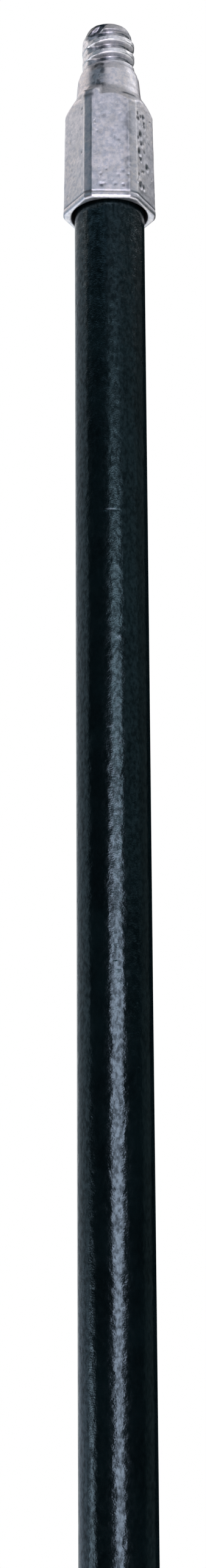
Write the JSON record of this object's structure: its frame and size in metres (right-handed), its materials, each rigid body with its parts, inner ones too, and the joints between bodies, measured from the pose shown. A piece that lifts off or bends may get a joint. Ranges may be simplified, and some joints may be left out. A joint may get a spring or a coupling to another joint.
{
  "type": "roller extension pole",
  "caption": "Telescoping steel extension pole for a paint roller, with a hexagonal cast threaded tip, a twist lock, a fluted collar and a rubber grip.",
  "frame": {"origin": "centre of the end cap's lowest face, on the pole's axis", "axes": "+Z along the pole towards the threaded tip; -Y is the side with one hexagon facet square to it"},
  "size_m": [0.036, 0.036, 1.219],
  "materials": {
    "black_paint": "gloss black stoved enamel with orange peel",
    "cast_metal": "as die-cast, mottled",
    "moulded_black": "fine spark-eroded texture",
    "band_grey": "satin moulding",
    "grip_rubber": "matt, ribbed",
    "seal_rubber": "smooth",
    "zinc_steel": "bright zinc plate",
    "rivet_metal": "bright, burnished head",
    "nylon": "natural nylon",
    "acetal": "white acetal",
    "brass": "turned"
  },
  "bodies": {
    "outer": {"outer_tube": "black_paint", "collar_shell": "moulded_black", "collar_screws": "zinc_steel", "guide_liner": "nylon", "wiper_ring": "seal_rubber", "grip_sleeve": "grip_rubber", "grip_band_top": "band_grey", "grip_band_bottom": "band_grey", "end_cap": "moulded_black", "end_cap_screw": "zinc_steel"},
    "sleeve": {"lock_sleeve": "nylon", "sleeve_ring": "seal_rubber"},
    "upper": {"threaded_tip": "cast_metal", "tip_rivets": "rivet_metal", "inner_tube": "black_paint", "lock_plug": "acetal", "plug_rivets": "zinc_steel", "lock_screw": "zinc_steel", "thrust_washer": "zinc_steel", "stop_washer": "zinc_steel", "stop_nut": "zinc_steel"},
    "cone": {"lock_cone": "acetal", "cone_nut": "brass"}
  },
  "joints": [
    {"name": "extension_slide", "type": "slide", "parent": "outer", "child": "sleeve", "axis": [0, 0, 1], "range_m": [-0.47, 0]},
    {"name": "lock_twist", "type": "hinge", "parent": "sleeve", "child": "upper", "pos_m": [0, 0, 0.58], "axis": [0, 0, 1], "range_deg": [0, 270]},
    {"name": "cone_travel", "type": "slide", "parent": "sleeve", "child": "cone", "axis": [0, 0, 1], "range_m": [-0.0023, 0]}
  ],
  "couplings": [
    {"joint": "cone_travel", "follows": "lock_twist", "m_per_rad": -0.00047746}
  ]
}
